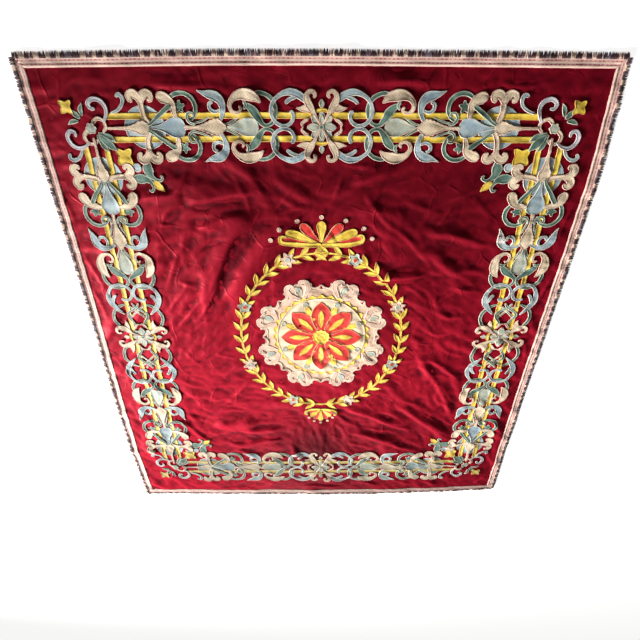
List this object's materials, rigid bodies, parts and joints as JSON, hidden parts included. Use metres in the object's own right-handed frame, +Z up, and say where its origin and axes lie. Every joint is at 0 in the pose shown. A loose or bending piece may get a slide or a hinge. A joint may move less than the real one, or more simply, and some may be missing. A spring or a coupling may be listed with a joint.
{
  "type": "armorial applique textile",
  "caption": "Large red cloth with a scroll applique border, woven galloon, block fringe and a round centre medallion, lying loose in soft folds.",
  "frame": {"origin": "on the floor, under the middle of the cloth's bounding box", "axes": "+Z up from the floor, +Y towards the top of the design, +X to its right"},
  "size_m": [2.0358, 2.18, 0.0212],
  "materials": {
    "crimson_cloth": "soft sheen",
    "galloon_weave": "matt woven",
    "fringe_silk": "matt",
    "gold_silk": "soft sheen",
    "cream_silk": "soft sheen",
    "blue_silk": "soft sheen",
    "green_silk": "soft sheen",
    "scarlet_silk": "soft sheen",
    "silver_silk": "soft sheen"
  },
  "bodies": {
    "root": {"band_rosette_bottom": "cream_silk", "band_rosette_left": "cream_silk", "band_rosette_right": "cream_silk", "band_rosette_top": "cream_silk", "corner_fleur_bottom_left": "green_silk", "corner_fleur_bottom_right": "green_silk", "corner_fleur_top_left": "green_silk", "corner_fleur_top_right": "green_silk", "corner_flower_bottom_left": "gold_silk", "corner_flower_bottom_right": "gold_silk", "corner_flower_top_left": "gold_silk", "corner_flower_top_right": "gold_silk", "corner_knot_bottom_left": "cream_silk", "corner_knot_bottom_right": "cream_silk", "corner_knot_top_left": "cream_silk", "corner_knot_top_right": "cream_silk", "fringe_bottom": "fringe_silk", "fringe_left": "fringe_silk", "fringe_right": "fringe_silk", "fringe_top": "fringe_silk", "galloon_bottom": "galloon_weave", "galloon_left": "galloon_weave", "galloon_right": "galloon_weave", "galloon_top": "galloon_weave", "ground_cloth": "crimson_cloth", "medallion_button": "gold_silk", "medallion_cartouche": "cream_silk", "medallion_petals": "scarlet_silk", "medallion_roundel": "silver_silk", "palmette_bottom": "gold_silk", "palmette_top": "gold_silk", "rail_bottom_inner": "gold_silk", "rail_bottom_outer": "gold_silk", "rail_left_inner": "gold_silk", "rail_left_outer": "gold_silk", "rail_right_inner": "gold_silk", "rail_right_outer": "gold_silk", "rail_top_inner": "gold_silk", "rail_top_outer": "gold_silk", "scroll_row_bottom_inner": "blue_silk", "scroll_row_bottom_outer": "blue_silk", "scroll_row_left_inner": "blue_silk", "scroll_row_left_outer": "blue_silk", "scroll_row_right_inner": "blue_silk", "scroll_row_right_outer": "blue_silk", "scroll_row_top_inner": "blue_silk", "scroll_row_top_outer": "blue_silk", "spine_bottom_a": "silver_silk", "spine_bottom_b": "silver_silk", "spine_left_a": "silver_silk", "spine_left_b": "silver_silk", "spine_right_a": "silver_silk", "spine_right_b": "silver_silk", "spine_top_a": "silver_silk", "spine_top_b": "silver_silk", "wreath_lower_left": "gold_silk", "wreath_lower_right": "gold_silk", "wreath_upper_left": "gold_silk", "wreath_upper_right": "gold_silk"}
  },
  "joints": []
}
